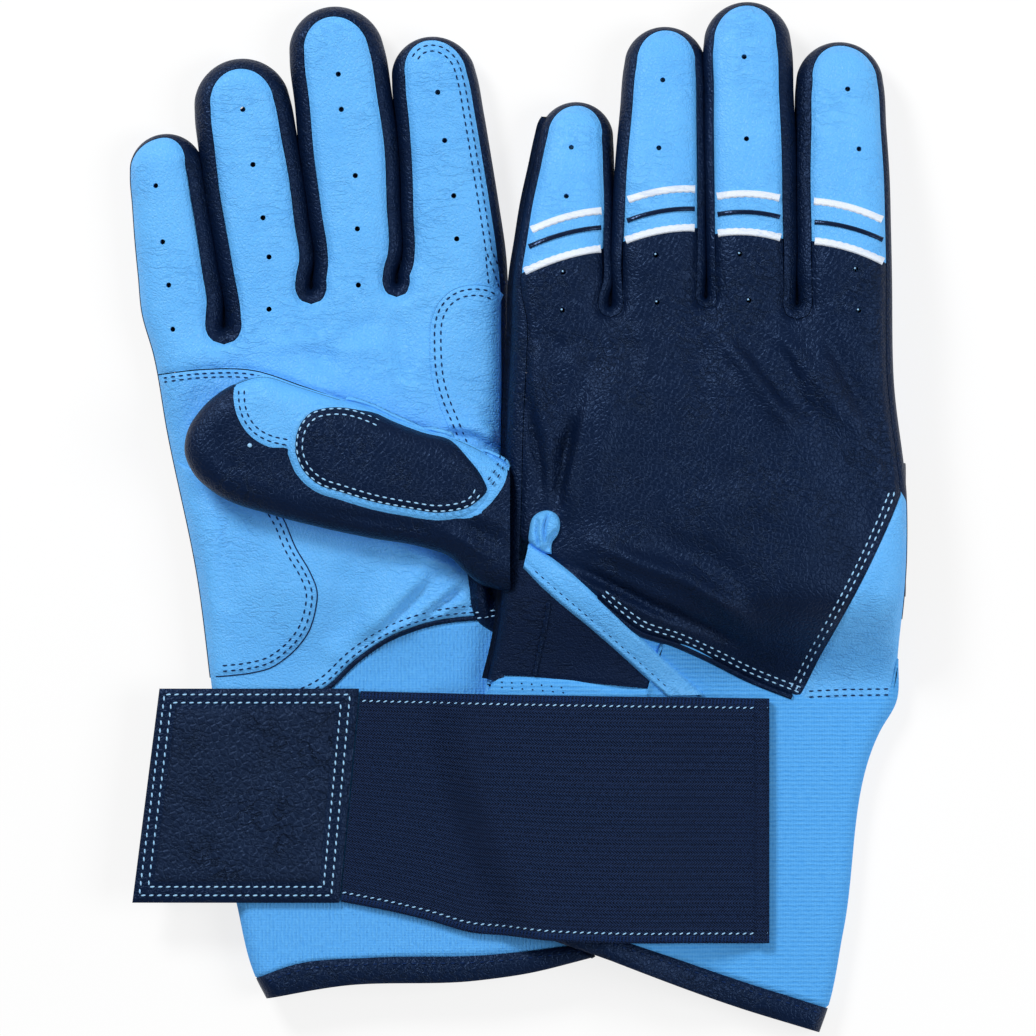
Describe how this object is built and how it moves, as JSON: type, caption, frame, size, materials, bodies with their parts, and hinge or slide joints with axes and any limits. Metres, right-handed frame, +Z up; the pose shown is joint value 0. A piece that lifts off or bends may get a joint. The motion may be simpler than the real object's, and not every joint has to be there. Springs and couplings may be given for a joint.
{
  "type": "batting gloves",
  "caption": "Matched pair of long-cuff batting gloves laid side by side, one palm up and one back up, with curling fingers and a wide wrist strap.",
  "frame": {"origin": "on the table, under the middle of the pair", "axes": "+X towards the left glove, +Y towards the fingertips, +Z up from the table"},
  "size_m": [0.2084, 0.2776, 0.0298],
  "materials": {
    "sky_leather": "satin",
    "navy_leather": "satin",
    "sky_knit": "matte",
    "navy_elastic": "matte",
    "navy_mesh": "matte"
  },
  "bodies": {
    "right_hand": {"right_palm_panel": "sky_leather", "right_back_panel": "navy_leather", "right_palm_heel": "sky_leather", "right_wrist_corner_panel": "sky_leather", "right_slit_binding": "sky_leather", "right_vent_gusset": "navy_mesh", "right_outer_side_strip": "navy_leather", "right_index_side_strip": "navy_leather", "right_cuff_sleeve": "sky_knit", "right_cuff_hem": "navy_leather", "right_crotch_little_ring": "navy_leather", "right_crotch_ring_middle": "navy_leather", "right_crotch_middle_index": "navy_leather"},
    "right_little_finger": {"right_little_palm_face": "sky_leather", "right_little_back_face": "sky_leather", "right_little_side_wall": "navy_leather"},
    "right_ring_finger": {"right_ring_palm_face": "sky_leather", "right_ring_back_face": "sky_leather", "right_ring_side_wall": "navy_leather"},
    "right_middle_finger": {"right_middle_palm_face": "sky_leather", "right_middle_back_face": "sky_leather", "right_middle_side_wall": "navy_leather"},
    "right_index_finger": {"right_index_palm_face": "sky_leather", "right_index_back_face": "sky_leather", "right_index_side_wall": "navy_leather"},
    "left_hand": {"left_palm_panel": "sky_leather", "left_back_panel": "navy_leather", "left_palm_heel": "sky_leather", "left_wrist_corner_panel": "sky_leather", "left_slit_binding": "sky_leather", "left_vent_gusset": "navy_mesh", "left_outer_side_strip": "navy_leather", "left_index_side_strip": "navy_leather", "left_cuff_sleeve": "sky_knit", "left_cuff_hem": "navy_leather", "left_crotch_little_ring": "navy_leather", "left_crotch_ring_middle": "navy_leather", "left_crotch_middle_index": "navy_leather"},
    "left_little_finger": {"left_little_palm_face": "sky_leather", "left_little_back_face": "sky_leather", "left_little_side_wall": "navy_leather"},
    "left_ring_finger": {"left_ring_palm_face": "sky_leather", "left_ring_back_face": "sky_leather", "left_ring_side_wall": "navy_leather"},
    "left_middle_finger": {"left_middle_palm_face": "sky_leather", "left_middle_back_face": "sky_leather", "left_middle_side_wall": "navy_leather"},
    "left_index_finger": {"left_index_palm_face": "sky_leather", "left_index_back_face": "sky_leather", "left_index_side_wall": "navy_leather"},
    "right_thumb": {"right_thumb_back_face": "navy_leather", "right_thumb_palm_face": "sky_leather", "right_thumb_patch": "navy_leather"},
    "left_thumb": {"left_thumb_back_face": "navy_leather", "left_thumb_palm_face": "sky_leather"},
    "right_strap": {"right_strap_band_inner": "navy_elastic"},
    "right_strap_end": {"right_strap_band_outer": "navy_elastic", "right_strap_tab": "navy_leather"},
    "left_strap": {"left_strap_band": "navy_elastic"},
    "left_strap_end": {"left_strap_tab": "navy_leather"}
  },
  "joints": [
    {"name": "right_little_curl", "type": "hinge", "parent": "right_hand", "child": "right_little_finger", "pos_m": [-0.0905, 0.0566, 0.013], "axis": [0.9929, 0.1191, 0], "range_deg": [0, 90]},
    {"name": "right_ring_curl", "type": "hinge", "parent": "right_hand", "child": "right_ring_finger", "pos_m": [-0.068, 0.0668, 0.013], "axis": [0.9892, 0.1466, 0], "range_deg": [0, 90]},
    {"name": "right_middle_curl", "type": "hinge", "parent": "right_hand", "child": "right_middle_finger", "pos_m": [-0.0434, 0.069, 0.013], "axis": [0.9939, 0.1101, 0], "range_deg": [0, 90]},
    {"name": "right_index_curl", "type": "hinge", "parent": "right_hand", "child": "right_index_finger", "pos_m": [-0.0178, 0.0701, 0.013], "axis": [0.9935, 0.1137, 0], "range_deg": [0, 90]},
    {"name": "right_thumb_open", "type": "hinge", "parent": "right_hand", "child": "right_thumb", "pos_m": [-0.0052, 0.0007, 0.02735], "axis": [0, 1, 0], "range_deg": [0, 100]},
    {"name": "right_strap_open", "type": "hinge", "parent": "right_hand", "child": "right_strap", "pos_m": [-0.009, -0.077, 0.00415], "axis": [0, -1, 0], "range_deg": [0, 90]},
    {"name": "right_strap_unfold", "type": "hinge", "parent": "right_strap", "child": "right_strap_end", "pos_m": [-0.0955, -0.077, 0.0023], "axis": [0, 1, 0], "range_deg": [0, 180]},
    {"name": "left_glove_lift", "type": "slide", "parent": "right_hand", "child": "left_hand", "axis": [0, 0, 1], "range_m": [0, 0.15]},
    {"name": "left_little_curl", "type": "hinge", "parent": "left_hand", "child": "left_little_finger", "pos_m": [0.0119, 0.0633, 0.0119], "axis": [-0.9959, 0.0902, 0], "range_deg": [0, 90]},
    {"name": "left_ring_curl", "type": "hinge", "parent": "left_hand", "child": "left_ring_finger", "pos_m": [0.0373, 0.0655, 0.0119], "axis": [-0.9994, 0.036, 0], "range_deg": [0, 90]},
    {"name": "left_middle_curl", "type": "hinge", "parent": "left_hand", "child": "left_middle_finger", "pos_m": [0.0625, 0.0663, 0.0119], "axis": [-0.9999, -0.0165, 0], "range_deg": [0, 90]},
    {"name": "left_index_curl", "type": "hinge", "parent": "left_hand", "child": "left_index_finger", "pos_m": [0.0872, 0.0641, 0.0119], "axis": [-0.9999, -0.0172, 0], "range_deg": [0, 90]},
    {"name": "left_thumb_open", "type": "hinge", "parent": "left_hand", "child": "left_thumb", "pos_m": [0.1011, 0.0007, 0], "axis": [0, -1, 0], "range_deg": [0, 100]},
    {"name": "left_strap_open", "type": "hinge", "parent": "left_hand", "child": "left_strap", "pos_m": [0.0674, -0.0816, 0.0093], "axis": [0, 1, 0], "range_deg": [0, 165]},
    {"name": "left_tab_fold", "type": "hinge", "parent": "left_strap", "child": "left_strap_end", "pos_m": [-0.043, -0.046, 0.01405], "axis": [0.0916, 0.9958, 0], "range_deg": [0, 100]}
  ]
}
